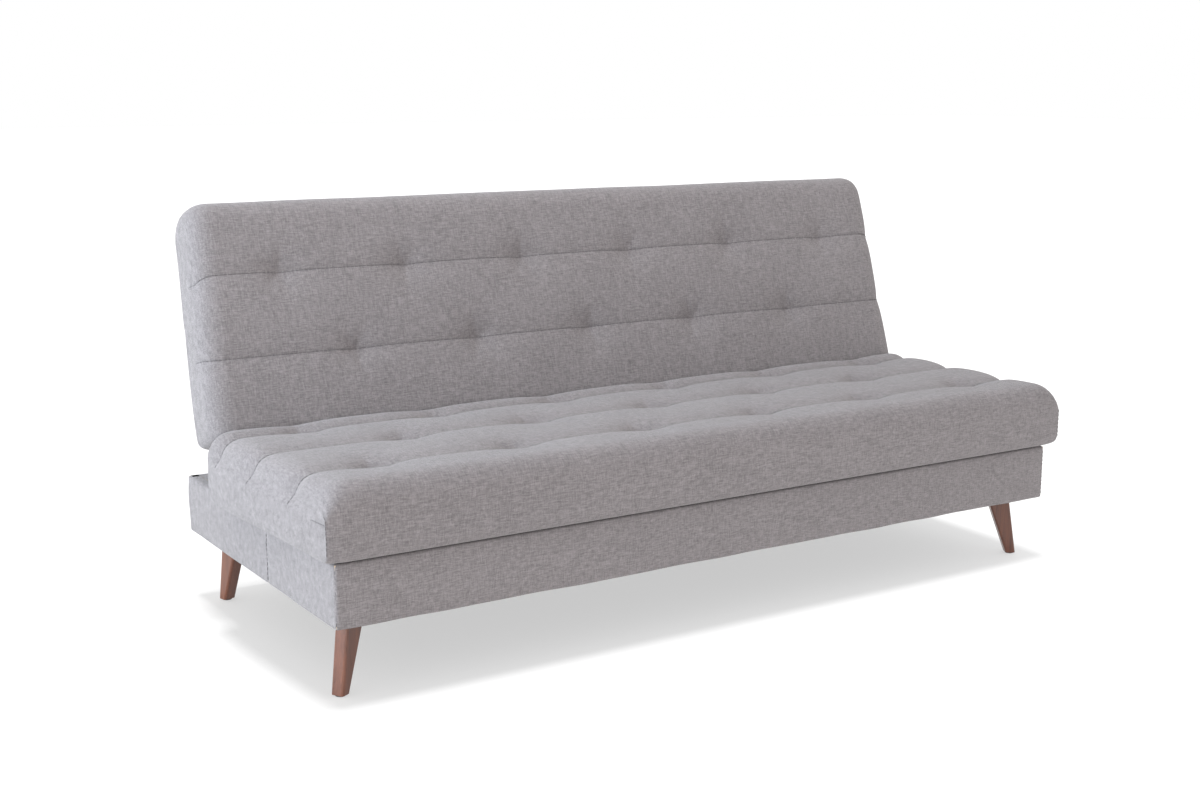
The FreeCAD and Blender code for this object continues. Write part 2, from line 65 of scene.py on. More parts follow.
class FutonCushionSettings(bpy.types.PropertyGroup):
    """Sizes of the sewn and stuffed pieces."""
    grid: bpy.props.FloatProperty(
        name="Grid", description="Mesh pitch of the covers before smoothing", default=0.014, unit="LENGTH")
    seam_width: bpy.props.FloatProperty(
        name="Seam width", description="Half width of a sewn channel", default=0.020, unit="LENGTH")
    seam_depth: bpy.props.FloatProperty(
        name="Seam depth", description="How far a channel is drawn in between tufts",
        default=0.005, unit="LENGTH")
    tuft_depth: bpy.props.FloatProperty(
        name="Tuft depth", description="How far a blind tuft is drawn in", default=0.024, unit="LENGTH")
    tuft_reach: bpy.props.FloatProperty(
        name="Tuft reach", description="Radius of a tuft's hollow", default=0.034, unit="LENGTH")
    crown: bpy.props.FloatProperty(
        name="Crown", description="Rise of the foam between two channels", default=0.007, unit="LENGTH")
    back_ease: bpy.props.FloatProperty(
        name="Back ease", description="How much softer the back is drawn in than the seat", default=0.4,
        subtype="FACTOR")
    pressure: bpy.props.FloatProperty(
        name="Pressure", description="Pressure of the stuffing on the cover", default=1.8)
    slack: bpy.props.FloatProperty(
        name="Slack", description="Spare length of the cover", default=0.012, subtype="FACTOR")
    swell: bpy.props.FloatProperty(
        name="Swell", description="Furthest that the cover may move when it is stuffed",
        default=0.016, unit="LENGTH")


class FutonFabricSettings(bpy.types.PropertyGroup):
    """Colours and thread of the upholstery and the wood."""
    dark_yarn: bpy.props.FloatVectorProperty(
        name="Dark yarn", description="Darkest yarn of the melange",
        default=(0.135, 0.122, 0.125), subtype="COLOR")
    light_yarn: bpy.props.FloatVectorProperty(
        name="Light yarn", description="Lightest yarn of the melange",
        default=(0.345, 0.314, 0.319), subtype="COLOR")
    thread_pitch: bpy.props.FloatProperty(
        name="Thread pitch", description="Distance between two threads", default=0.0016, unit="LENGTH")
    stain_dark: bpy.props.FloatVectorProperty(
        name="Dark stain", description="Grain colour of the legs",
        default=(0.058, 0.015, 0.007), subtype="COLOR")
    stain_light: bpy.props.FloatVectorProperty(
        name="Light stain", description="Ground colour of the legs",
        default=(0.172, 0.053, 0.023), subtype="COLOR")


class FutonStageSettings(bpy.types.PropertyGroup):
    """Camera, floor and light."""
    camera_place: bpy.props.FloatVectorProperty(
        name="Camera place", description="Where the camera stands",
        default=(-2.0486, -3.0879, 1.1479), unit="LENGTH")
    azimuth: bpy.props.FloatProperty(
        name="Azimuth", description="Turn of the view from straight ahead",
        default=math.radians(-32.41), unit="ROTATION")
    tilt: bpy.props.FloatProperty(
        name="Tilt", description="How far the camera looks down",
        default=math.radians(11.07), unit="ROTATION")
    floor_glow: bpy.props.FloatProperty(
        name="Floor glow", description="Light of the floor sheet itself, which lifts the shadow",
        default=0.535)
    lens: bpy.props.FloatProperty(name="Lens", description="Focal length in millimetres", default=48.56)


# ---- Small helpers -------------------------------------------------------------------------------

def smooth(value, low, high):
    """0 below low, 1 above high and a soft step between."""
    part = min(max((value - low) / (high - low), 0.0), 1.0)
    return part * part * (3 - 2 * part)


def new_piece(name, verts, faces, material, body):
    """A smooth-shaded mesh piece that rides on a body."""
    mesh = bpy.data.meshes.new(name)
    mesh.from_pydata([tuple(v) for v in verts], [], faces)
    mesh.validate()
    piece = bpy.data.objects.new(name, mesh)
    bpy.context.scene.collection.objects.link(piece)
    mesh.polygons.foreach_set("use_smooth", [True] * len(mesh.polygons))
    mesh.materials.append(material)
    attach(piece, body)
    return piece


def stops(low, high, pitch, lines=(), fine=0.0038):
    """Grid stops about one pitch apart, with three close ones at each sewn line."""
    count = max(2, round((high - low) / pitch))
    marks = [low + (high - low) * i / count for i in range(count + 1)]
    marks = [m for m in marks if all(abs(m - line) > 2.4 * fine for line in lines) or m in (low, high)]
    for line in lines:
        marks += [line - 2 * fine, line - fine, line, line + fine, line + 2 * fine]
    return sorted(marks)


def block_grid(xs, ys, zs):
    """A closed box surface on three lists of stops: {(i, j, k): vertex number}, places and faces."""
    last = (len(xs) - 1, len(ys) - 1, len(zs) - 1)
    index, places, faces = {}, [], []

    def vertex(i, j, k):
        if (i, j, k) not in index:
            index[(i, j, k)] = len(places)
            places.append(Vector((xs[i], ys[j], zs[k])))
        return index[(i, j, k)]

    def side(fixed, at, outward):
        first, second = [axis for axis in range(3) if axis != fixed]
        for a in range(last[first]):
            for b in range(last[second]):
                quad = []
                for da, db in ((0, 0), (1, 0), (1, 1), (0, 1)):
                    key = [0, 0, 0]
                    key[fixed], key[first], key[second] = at, a + da, b + db
                    quad.append(vertex(*key))
                faces.append(quad if outward else quad[::-1])

    side(0, 0, False)
    side(0, last[0], True)
    side(1, 0, True)
    side(1, last[1], False)
    side(2, 0, False)
    side(2, last[2], True)
    return index, places, faces


def tube(points, radius, sides=6):
    """Verts and faces of a closed-ended tube along points."""
    verts, faces = [], []
    for number, point in enumerate(points):
        ahead = points[min(number + 1, len(points) - 1)] - points[max(number - 1, 0)]
        turn = ahead.to_track_quat("Z", "Y")
        for step in range(sides):
            angle = 2 * math.pi * step / sides
            verts.append(point + turn @ Vector((math.cos(angle) * radius, math.sin(angle) * radius, 0)))
    for ring in range(len(points) - 1):
        for step in range(sides):
            after = (step + 1) % sides
            here, there = ring * sides, (ring + 1) * sides
            faces.append([here + step, here + after, there + after, there + step])
    faces.append(list(range(sides))[::-1])
    faces.append([(len(points) - 1) * sides + step for step in range(sides)])
    return verts, faces


def stitches(path, length=0.0065, gap=0.0035, radius=0.0007):
    """Running stitches along a path, as short closed threads."""
    verts, faces = [], []
    lengths = [0.0]
    for here, there in zip(path, path[1:]):
        lengths.append(lengths[-1] + (there - here).length)

    def at(distance):
        for number in range(len(lengths) - 1):
            if lengths[number + 1] >= distance:
                span = lengths[number + 1] - lengths[number] or 1
                return path[number].lerp(path[number + 1], (distance - lengths[number]) / span)
        return path[-1]

    place = gap
    while place + length < lengths[-1]:
        thread = [at(place + length * part) for part in (0, 0.5, 1)]
        new_verts, new_faces = tube(thread, radius, 5)
        base = len(verts)
        verts += new_verts
        faces += [[base + v for v in face] for face in new_faces]
        place += length + gap
    return verts, faces


# ---- Shader node groups --------------------------------------------------------------------------

class NodeBench:
    """Adds and wires nodes in one tree."""

    def __init__(self, tree):
        self.tree = tree
        self.nodes = tree.nodes
        self.links = tree.links

    def add(self, kind, **values):
        made = self.nodes.new(kind)
        for key, value in values.items():
            setattr(made, key, value)
        return made

    def wire(self, source, target):
        self.links.new(source, target)

    def math(self, operation, first, second=None):
        made = self.add("ShaderNodeMath", operation=operation)
        for socket, value in zip(made.inputs, (first, second)):
            if value is None:
                continue
            if isinstance(value, (int, float)):
                socket.default_value = value
            else:
                self.wire(value, socket)
        return made.outputs[0]

    def noise(self, vector, scale, detail=3.0, rough=0.55):
        made = self.add("ShaderNodeTexNoise")
        made.inputs["Scale"].default_value = scale
        made.inputs["Detail"].default_value = detail
        made.inputs["Roughness"].default_value = rough
        self.wire(vector, made.inputs["Vector"])
        return made.outputs["Fac"]

    def stretch(self, vector, scale):
        made = self.add("ShaderNodeMapping")
        made.inputs["Scale"].default_value = scale
        self.wire(vector, made.inputs["Vector"])
        return made.outputs["Vector"]

    def colours(self, fac, first, second):
        made = self.add("ShaderNodeMix", data_type="RGBA")
        for socket, value in ((made.inputs[0], fac), (made.inputs[6], first), (made.inputs[7], second)):
            if isinstance(value, (tuple, list)):
                socket.default_value = (*value[:3], 1)
            else:
                self.wire(value, socket)
        return made.outputs[2]


def group_tree(name, inputs, outputs):
    """An empty shader group with named float, vector or colour sockets."""
    tree = bpy.data.node_groups.new(name, "ShaderNodeTree")
    for socket_name, kind, default in inputs:
        socket = tree.interface.new_socket(socket_name, in_out="INPUT", socket_type=kind)
        if default is not None:
            socket.default_value = default
    for socket_name, kind in outputs:
        tree.interface.new_socket(socket_name, in_out="OUTPUT", socket_type=kind)
    bench = NodeBench(tree)
    return bench, bench.add("NodeGroupInput").outputs, bench.add("NodeGroupOutput").inputs


def weave_group():
    """Plain weave height on whichever plane the surface faces, from threads of one pitch."""
    bench, given, out = group_tree("Plain weave", [("Vector", "NodeSocketVector", None),
                                                   ("Normal", "NodeSocketVector", None),
                                                   ("Pitch", "NodeSocketFloat", 0.0016)],
                                   [("Height", "NodeSocketFloat")])
    place = bench.add("ShaderNodeSeparateXYZ")
    bench.wire(given["Vector"], place.inputs[0])
    facing = bench.add("ShaderNodeSeparateXYZ")
    bench.wire(given["Normal"], facing.inputs[0])
    turns = [bench.math("DIVIDE", place.outputs[axis], given["Pitch"]) for axis in range(3)]

    def plane(a, b):
        warp = bench.math("ABSOLUTE", bench.math("SINE", bench.math("MULTIPLY", turns[a], math.pi)))
        weft = bench.math("ABSOLUTE", bench.math("SINE", bench.math("MULTIPLY", turns[b], math.pi)))
        steps = bench.math("ADD", bench.math("FLOOR", turns[a]), bench.math("FLOOR", turns[b]))
        over = bench.math("PINGPONG", steps, 1.0)
        under = bench.math("SUBTRACT", 1.0, over)
        return bench.math("ADD", bench.math("MULTIPLY", warp, over), bench.math("MULTIPLY", weft, under))

    total = 0.0
    for axis, (a, b) in enumerate(((1, 2), (0, 2), (0, 1))):
        share = bench.math("POWER", bench.math("ABSOLUTE", facing.outputs[axis]), 4.0)
        total = bench.math("ADD", total, bench.math("MULTIPLY", plane(a, b), share))
    bench.wire(total, out["Height"])
    return bench.tree


def heather_group():
    """Mixed yarns: short slubs along the length and across it, and a slow drift of tone."""
    bench, given, out = group_tree("Heathered yarns", [("Vector", "NodeSocketVector", None),
                                                       ("Dark", "NodeSocketColor", (0.2, 0.2, 0.2, 1)),
                                                       ("Light", "NodeSocketColor", (0.5, 0.5, 0.5, 1)),
                                                       ("Contrast", "NodeSocketFloat", 2.2)],
                                   [("Color", "NodeSocketColor"), ("Slub", "NodeSocketFloat")])
    along = bench.noise(bench.stretch(given["Vector"], (60, 420, 420)), 1.0, 2.0, 0.6)
    across = bench.noise(bench.stretch(given["Vector"], (420, 70, 70)), 1.0, 2.0, 0.6)
    speck = bench.noise(given["Vector"], 700.0, 1.0, 0.5)
    drift = bench.noise(given["Vector"], 7.0, 2.0, 0.5)
    slub = bench.math("ADD", bench.math("MULTIPLY", along, 0.45), bench.math("MULTIPLY", across, 0.35))
    slub = bench.math("ADD", slub, bench.math("MULTIPLY", speck, 0.2))
    spread = bench.math("MULTIPLY", bench.math("SUBTRACT", slub, 0.5), given["Contrast"])
    sway = bench.math("MULTIPLY", bench.math("SUBTRACT", drift, 0.5), 0.16)
    tone = bench.math("ADD", bench.math("ADD", spread, 0.5), sway)
    clamp = bench.add("ShaderNodeClamp")
    bench.wire(tone, clamp.inputs[0])
    bench.wire(bench.colours(clamp.outputs[0], given["Dark"], given["Light"]), out["Color"])
    bench.wire(slub, out["Slub"])
    return bench.tree


def grain_group():
    """Wood: long fibres along one axis, slow growth bands and fine pores."""
    bench, given, out = group_tree("Wood grain", [("Vector", "NodeSocketVector", None),
                                                  ("Dark", "NodeSocketColor", (0.1, 0.05, 0.02, 1)),
                                                  ("Light", "NodeSocketColor", (0.4, 0.2, 0.1, 1)),
                                                  ("Bands", "NodeSocketFloat", 0.5)],
                                   [("Color", "NodeSocketColor"), ("Height", "NodeSocketFloat"),
                                    ("Tone", "NodeSocketFloat")])
    fibres = bench.noise(bench.stretch(given["Vector"], (420, 420, 14)), 1.0, 4.0, 0.6)
    bands = bench.noise(bench.stretch(given["Vector"], (45, 45, 3.0)), 1.0, 3.0, 0.5)
    pores = bench.noise(bench.stretch(given["Vector"], (1400, 1400, 60)), 1.0, 1.0, 0.5)
    banded = bench.math("MULTIPLY", bands, given["Bands"])
    tone = bench.math("ADD", bench.math("MULTIPLY", fibres, 0.55), banded)
    tone = bench.math("ADD", tone, bench.math("MULTIPLY", pores, 0.15))
    spread = bench.math("ADD", bench.math("MULTIPLY", bench.math("SUBTRACT", tone, 0.58), 2.4), 0.5)
    clamp = bench.add("ShaderNodeClamp")
    bench.wire(spread, clamp.inputs[0])
    bench.wire(bench.colours(clamp.outputs[0], given["Dark"], given["Light"]), out["Color"])
    bench.wire(fibres, out["Height"])
    bench.wire(clamp.outputs[0], out["Tone"])
    return bench.tree


def wear_group():
    """Fine scratches and a cloudy change of gloss for metal and plastic."""
    bench, given, out = group_tree("Handling wear", [("Vector", "NodeSocketVector", None),
                                                     ("Base", "NodeSocketColor", (0.5, 0.5, 0.5, 1)),
                                                     ("Worn", "NodeSocketColor", (0.6, 0.6, 0.6, 1)),
                                                     ("Gloss", "NodeSocketFloat", 0.4)],
                                   [("Color", "NodeSocketColor"), ("Roughness", "NodeSocketFloat"),
                                    ("Height", "NodeSocketFloat")])
    cloud = bench.noise(given["Vector"], 38.0, 4.0, 0.6)
    scratch = bench.noise(bench.stretch(given["Vector"], (900, 60, 900)), 1.0, 2.0, 0.7)
    both = bench.math("MULTIPLY", bench.math("POWER", cloud, 2.0), bench.math("POWER", scratch, 2.0))
    mask = bench.math("MINIMUM", bench.math("MULTIPLY", both, 3.0), 1.0)
    bench.wire(bench.colours(mask, given["Base"], given["Worn"]), out["Color"])
    bench.wire(bench.math("ADD", given["Gloss"], bench.math("MULTIPLY", cloud, 0.22)), out["Roughness"])
    bench.wire(bench.math("ADD", cloud, bench.math("MULTIPLY", scratch, 0.5)), out["Height"])
    return bench.tree


GROUPS = {}


def group_node(bench, maker):
    """A node of a group that is built once and shared."""
    if maker not in GROUPS:
        GROUPS[maker] = maker()
    made = bench.add("ShaderNodeGroup")
    made.node_tree = GROUPS[maker]
    return made


def material_bench(name):
    """A material with its Principled shader and object coordinates."""
    material = bpy.data.materials.new(name)
    material.use_nodes = True
    bench = NodeBench(material.node_tree)
    shader = next(n for n in bench.nodes if n.type == "BSDF_PRINCIPLED")
    coords = bench.add("ShaderNodeTexCoord")
    return material, bench, shader, coords


def bump(bench, height, shader, strength, distance):
    """A height that feeds the shader's normal."""
    made = bench.add("ShaderNodeBump")
    made.inputs["Strength"].default_value = strength
    made.inputs["Distance"].default_value = distance
    bench.wire(height, made.inputs["Height"])
    bench.wire(made.outputs["Normal"], shader.inputs["Normal"])


def fabric_material(name, lean=0.0, tint=1.0):
    """Melange upholstery: mixed yarns, a plain weave that leans with its cushion, and a soft nap, with
    painted shade on the sewn seam rows and in the low parts of the weave.
    """
    cloth = bpy.context.scene.futon_fabric
    material, bench, shader, coords = material_bench(name)
    turned = bench.add("ShaderNodeMapping")
    turned.inputs["Rotation"].default_value = (lean, 0, 0)
    bench.wire(coords.outputs["Object"], turned.inputs["Vector"])
    facing = bench.add("ShaderNodeMapping", vector_type="NORMAL")
    facing.inputs["Rotation"].default_value = (lean, 0, 0)
    bench.wire(coords.outputs["Normal"], facing.inputs["Vector"])
    yarn = group_node(bench, heather_group)
    yarn.inputs["Dark"].default_value = (*[c * tint for c in cloth.dark_yarn], 1)
    yarn.inputs["Light"].default_value = (*[c * tint for c in cloth.light_yarn], 1)
    yarn.inputs["Contrast"].default_value = 3.0
    bench.wire(turned.outputs[0], yarn.inputs["Vector"])
    weave = group_node(bench, weave_group)
    weave.inputs["Pitch"].default_value = cloth.thread_pitch
    bench.wire(turned.outputs[0], weave.inputs["Vector"])
    bench.wire(facing.outputs[0], weave.inputs["Normal"])
    # Painted shade: the low parts of the weave are darkened towards the dark yarn, in place of the shade that
    # falls between the threads.
    weave_gap_shade = bench.math("MULTIPLY", bench.math("SUBTRACT", 1.0, weave.outputs["Height"]), 0.35)
    woven = bench.colours(weave_gap_shade, yarn.outputs["Color"], tuple(c * 0.62 * tint for c in cloth.dark_yarn))
    # Painted shade: the sewn seam rows are darkened in the colour, in place of the shadow inside the seam
    # grooves.
    sewn = bench.add("ShaderNodeAttribute", attribute_name="sewn")
    line = bench.math("MULTIPLY", bench.math("POWER", sewn.outputs["Fac"], 2.5), 0.25)
    shaded = bench.colours(line, woven, tuple(c * 0.25 for c in cloth.dark_yarn))
    bench.wire(shaded, shader.inputs["Base Color"])
    rough = bench.math("ADD", 0.82, bench.math("MULTIPLY", yarn.outputs["Slub"], 0.16))
    bench.wire(rough, shader.inputs["Roughness"])
    shader.inputs["Sheen Weight"].default_value = 0.22
    shader.inputs["Sheen Roughness"].default_value = 0.45
    shader.inputs["Specular IOR Level"].default_value = 0.25
    height = bench.math("ADD", weave.outputs["Height"], bench.math("MULTIPLY", yarn.outputs["Slub"], 1.2))
    bump(bench, height, shader, 0.55, 0.0006)
    return material


def lining_material():
    """Black spun lining with pressed dots."""
    material, bench, shader, coords = material_bench("spun_lining")
    fuzz = bench.noise(coords.outputs["Object"], 260.0, 3.0, 0.6)
    dots = bench.add("ShaderNodeTexVoronoi", feature="F1")
    dots.inputs["Scale"].default_value = 480.0
    bench.wire(coords.outputs["Object"], dots.inputs["Vector"])
    bench.wire(bench.colours(fuzz, (0.010, 0.010, 0.011), (0.045, 0.045, 0.048)), shader.inputs["Base Color"])
    shader.inputs["Roughness"].default_value = 0.92
    bump(bench, bench.math("ADD", dots.outputs["Distance"], fuzz), shader, 0.5, 0.0005)
    return material


def wood_material(name, dark, light, bands, rough, coat, lie=(0, 0, 0)):
    """Wood whose fibres run up the piece, or along another axis when it is laid over."""
    material, bench, shader, coords = material_bench(name)
    laid = bench.add("ShaderNodeMapping")
    laid.inputs["Rotation"].default_value = lie
    bench.wire(coords.outputs["Object"], laid.inputs["Vector"])
    grain = group_node(bench, grain_group)
    grain.inputs["Dark"].default_value = (*dark, 1)
    grain.inputs["Light"].default_value = (*light, 1)
    grain.inputs["Bands"].default_value = bands
    bench.wire(laid.outputs[0], grain.inputs["Vector"])
    bench.wire(grain.outputs["Color"], shader.inputs["Base Color"])
    dull = bench.math("MULTIPLY", grain.outputs["Tone"], 0.12)
    bench.wire(bench.math("ADD", rough, dull), shader.inputs["Roughness"])
    shader.inputs["Coat Weight"].default_value = coat
    shader.inputs["Coat Roughness"].default_value = 0.22
    bump(bench, grain.outputs["Height"], shader, 0.25, 0.0004)
    return material


def worn_material(name, base, worn, gloss, metallic, relief=0.15):
    """Metal, plastic or rubber with light handling wear."""
    material, bench, shader, coords = material_bench(name)
    wear = group_node(bench, wear_group)
    wear.inputs["Base"].default_value = (*base, 1)
    wear.inputs["Worn"].default_value = (*worn, 1)
    wear.inputs["Gloss"].default_value = gloss
    bench.wire(coords.outputs["Object"], wear.inputs["Vector"])
    bench.wire(wear.outputs["Color"], shader.inputs["Base Color"])
    bench.wire(wear.outputs["Roughness"], shader.inputs["Roughness"])
    shader.inputs["Metallic"].default_value = metallic
    bump(bench, wear.outputs["Height"], shader, relief, 0.0004)
    return material


def fuzzy_material(name, dark, light, scale, relief):
    """Felt or foam: a matte, speckled ground."""
    material, bench, shader, coords = material_bench(name)
    speck = bench.noise(coords.outputs["Object"], scale, 4.0, 0.65)
    bench.wire(bench.colours(speck, dark, light), shader.inputs["Base Color"])
    shader.inputs["Roughness"].default_value = 0.95
    bump(bench, speck, shader, 0.6, relief)
    return material


MATERIALS = {}


def finish(name):
    """One finish by name, made the first time it is asked for."""
    if name in MATERIALS:
        return MATERIALS[name]
    cloth = bpy.context.scene.futon_fabric
    across = (0, math.pi / 2, 0)
    makers = {
        "upholstery": lambda: fabric_material("grey_melange"),
        "back_upholstery": lambda: fabric_material("grey_melange_back", back_lean()),
        "thread": lambda: fuzzy_material(
            "seam_thread", (0.075, 0.070, 0.071), (0.16, 0.15, 0.15), 900.0, 0.0003),
        "lining": lining_material,
        "walnut": lambda: wood_material(
            "walnut_stain", cloth.stain_dark, cloth.stain_light, 0.42, 0.26, 0.35),
        "plywood": lambda: wood_material(
            "birch_plywood", (0.42, 0.29, 0.17), (0.68, 0.53, 0.36), 0.5, 0.55, 0.0, across),
        "softwood": lambda: wood_material(
            "pine_rail", (0.45, 0.28, 0.14), (0.72, 0.54, 0.33), 0.6, 0.55, 0.0, across),
        "black_steel": lambda: worn_material(
            "black_steel", (0.018, 0.018, 0.019), (0.09, 0.09, 0.09), 0.34, 0.0),
        "zinc": lambda: worn_material("zinc_plate", (0.55, 0.55, 0.53), (0.74, 0.73, 0.70), 0.24, 1.0),
        "glide_plastic": lambda: worn_material(
            "nylon_glide", (0.05, 0.045, 0.04), (0.12, 0.11, 0.10), 0.5, 0.0),
        "bumper_rubber": lambda: worn_material(
            "bumper_rubber", (0.015, 0.015, 0.015), (0.05, 0.05, 0.05), 0.68, 0.0, 0.4),
        "felt": lambda: fuzzy_material("felt_strip", (0.02, 0.02, 0.02), (0.07, 0.07, 0.07), 700.0, 0.0009),
        "foam": lambda: fuzzy_material("seat_foam", (0.62, 0.55, 0.36), (0.85, 0.80, 0.60), 500.0, 0.0008),
    }
    MATERIALS[name] = makers[name]()
    return MATERIALS[name]


# ---- Cushions ------------------------------------------------------------------------------------

def back_lean():
    """The back's angle from upright, from the widest face of its rear cloth."""
    cloth = frame["nodes"]["back_rear_cloth"]
    widest = max(cloth.data.polygons, key=lambda face: face.area)
    normal = cloth.matrix_world.to_3x3() @ widest.normal
    if normal.y < 0:
        normal.negate()
    return math.atan2(-normal.z, normal.y)


def upright_box(node, lean):
    """A leaned node's box in the back's upright frame about the hinge."""
    undo = Matrix.Rotation(lean, 3, "X")
    thing = frame["nodes"][node]
    places = [undo @ (thing.matrix_world @ v.co - HINGE) for v in thing.data.vertices]
    return (Vector([min(p[axis] for p in places) for axis in range(3)]),
            Vector([max(p[axis] for p in places) for axis in range(3)]))


class CushionPlan:
    """One stuffed cushion laid flat: X along it, Y from front edge to rear, Z up through the tufted face.

    flare holds, for the left and the right end, how far it is let out at the front and at the rear.
    """

    def __init__(self, low, high, seams, tufts, radii, ends, seam_drop, ease, flare, place):
        self.low, self.high = Vector(low), Vector(high)
        self.centre, self.half = (self.low + self.high) / 2, (self.high - self.low) / 2
        self.seams = seams
        self.tufts = tufts
        self.radii = radii
        self.ends = ends
        self.seam_drop = seam_drop
        self.ease = ease
        self.flare = flare
        self.place = place


def rounded(plan, p):
    """A point of the plain block moved onto the rounded cushion, and its outward normal."""
    radius = plan.radii[(p.y > plan.centre.y, p.z > plan.centre.z)]
    core = [min(max(p[a], plan.low[a] + radius), plan.high[a] - radius) for a in (1, 2)]
    ray = Vector((p.y - core[0], p.z - core[1]))
    inside = ray.length < 0.2 * radius
    if not inside:
        ray.normalize()
    y, z = (p.y, p.z) if inside else (core[0] + ray.x * radius, core[1] + ray.y * radius)
    ends = plan.ends
    past = min(max((abs(p.x - plan.centre.x) - plan.half.x + ends["length"]) / ends["length"], 0), 1)
    angle = past * math.pi / 2
    drop = 1 - math.cos(angle)
    across, up = (y - plan.centre.y) / plan.half.y, (z - plan.centre.z) / plan.half.z
    fall_y = ends["rear"] if across > 0 else ends["front"]
    fall_z = ends["top"] if up > 0 else ends["foot"]
    turned = Vector((math.copysign(math.sin(angle), p.x), ray.x * math.cos(angle), ray.y * math.cos(angle)))
    x = p.x
    if past > 0:
        way = math.copysign(1, p.x)
        dome = ends["dome"] * past * max(1 - across ** 4, 0) * max(1 - up * up, 0)
        x = way * (plan.half.x - ends["length"] * (1 - math.sin(angle)) + dome)
        x += plan.centre.x
    normal = turned if turned.length > 0.3 else Vector((0, 0, 1))
    if abs(abs(p.x - plan.centre.x) - plan.half.x) < 1e-6:
        normal = Vector((math.copysign(1, p.x), 0, 0))
    near, far = plan.flare[x > plan.centre.x]
    x += (near + (far - near) * smooth(p.y, plan.low.y, plan.high.y)) * (x - plan.centre.x) / plan.half.x
    return Vector((x, y - across * fall_y * drop, z - up * fall_z * drop)), normal.normalized()


def drawn_in(plan, p, sizes):
    """How far the sewing draws a point of the cover in, and how hard it is held there."""
    live = smooth(p.z, plan.high.z - plan.seam_drop, plan.high.z - plan.seam_drop + 0.03)
    if live == 0:
        return 0.0, 0.0
    edges = [plan.low.y, *plan.seams, plan.high.y]
    inward, held = 0.0, 0.0
    for line, marks in zip(plan.seams, plan.tufts):
        away = abs(p.y - line)
        inward += sizes.seam_depth * plan.ease * math.exp(-(away / sizes.seam_width) ** 2)
        if away < 0.001:
            held = 1.0
            inward += 0.0010
        for mark in marks:
            radius = math.hypot(p.x - mark, p.y - line)
            if radius < 4 * sizes.tuft_reach:
                hollow = math.exp(-(radius / sizes.tuft_reach) ** 1.25)
                angle = math.atan2(p.y - line, p.x - mark)
                folds = math.cos(5 * angle + 9 * mark) * math.exp(-((radius - 0.028) / 0.018) ** 2)
                inward += sizes.tuft_depth * hollow * (0.55 + 0.45 * plan.ease) + 0.0016 * folds
                if radius < 0.006:
                    held = 1.0
    for near, far in zip(edges, edges[1:]):
        if near <= p.y <= far:
            part = 2 * (p.y - near) / (far - near) - 1
            outer = (part < 0 and near == plan.low.y) or (part > 0 and far == plan.high.y)
            inward += 0.0 if outer else sizes.crown * plan.ease * part * part
    return inward * live, held * smooth(live, 0.3, 0.31)


def stuff(piece, rest, pins, sizes, ease):
    """Swell the cover by cloth simulation against its pins, then cap how far it moved."""
    scene = bpy.context.scene
    group = piece.vertex_groups.new(name="sewn")
    for number, weight in enumerate(pins):
        if weight > 0:
            group.add([number], weight, "REPLACE")
    cloth = piece.modifiers.new("stuffing", "CLOTH")
    settings = cloth.settings
    settings.quality = 5
    settings.mass = 0.35
    settings.tension_stiffness = 25
    settings.compression_stiffness = 25
    settings.shear_stiffness = 10
    settings.bending_stiffness = 2.5
    settings.use_pressure = True
    settings.uniform_pressure_force = sizes.pressure * ease
    settings.shrink_min = -sizes.slack * ease
    settings.vertex_group_mass = "sewn"
    settings.effector_weights.gravity = 0
    last_frame = 20
    cloth.point_cache.frame_start = 1
    cloth.point_cache.frame_end = last_frame
    for number in range(1, last_frame + 1):
        scene.frame_set(number)
    evaluated = piece.evaluated_get(bpy.context.evaluated_depsgraph_get())
    moved = [v.co.copy() for v in evaluated.data.vertices]
    piece.modifiers.remove(cloth)
    scene.frame_set(1)
    for vertex, start, end in zip(piece.data.vertices, rest, moved):
        step = end - start
        if step.length > sizes.swell * ease:
            step *= sizes.swell * ease / step.length
        vertex.co = start + step
    piece.vertex_groups.clear()


def sew_cushion(name, plan, body, material, corners):
    """A stuffed cushion with sewn channels and blind tufts: the piece, and the path of each seam."""
    sizes = bpy.context.scene.futon_cushions
    marks = sorted({round(m, 4) for row in plan.tufts for m in row})
    xs = stops(plan.low.x, plan.high.x, sizes.grid, marks, 0.006)
    ys = stops(plan.low.y, plan.high.y, sizes.grid, plan.seams)
    zs = stops(plan.low.z, plan.high.z, sizes.grid)
    index, places, faces = block_grid(xs, ys, zs)
    rest, pins = [], []
    for p in places:
        q, normal = rounded(plan, p)
        inward, held = drawn_in(plan, Vector((q.x, p.y, q.z)), sizes)
        flat = smooth(plan.low.z + 0.012 - p.z, 0, 0.008)
        wander = noise.noise(Vector((q.x * 5, q.y * 7, q.z * 9))) * 0.0015 * (1 - flat)
        rest.append(q - normal * (inward - wander))
        pins.append(max(held, flat))
    piece = new_piece(name, rest, faces, material, body)
    stuff(piece, rest, pins, sizes, plan.ease)
    seam_rows = [[index[key] for key in seam_keys(plan, xs, ys, zs, line)] for line in plan.seams]
    if corners:
        middle = len(zs) // 2
        for i in (0, len(xs) - 1):
            seam_rows.append([index[(i, 0, k)] for k in range(1, len(zs) - 1)])
            seam_rows.append([index[(i, j, middle)] for j in range(5)])
    crease_rows(piece, seam_rows)
    # Marks the seam rows. The upholstery darkens them as painted shade of the seam grooves.
    sewn = piece.data.attributes.new("sewn", "FLOAT", "POINT")
    for row in seam_rows:
        for number in row:
            sewn.data[number].value = 1.0
    piece.data.transform(plan.place)
    piece.data.update()
    paths = [[piece.data.vertices[number].co.copy() for number in row] for row in seam_rows]
    smoother = piece.modifiers.new("smooth", "SUBSURF")
    smoother.levels = 1
    smoother.render_levels = 1
    return piece, paths


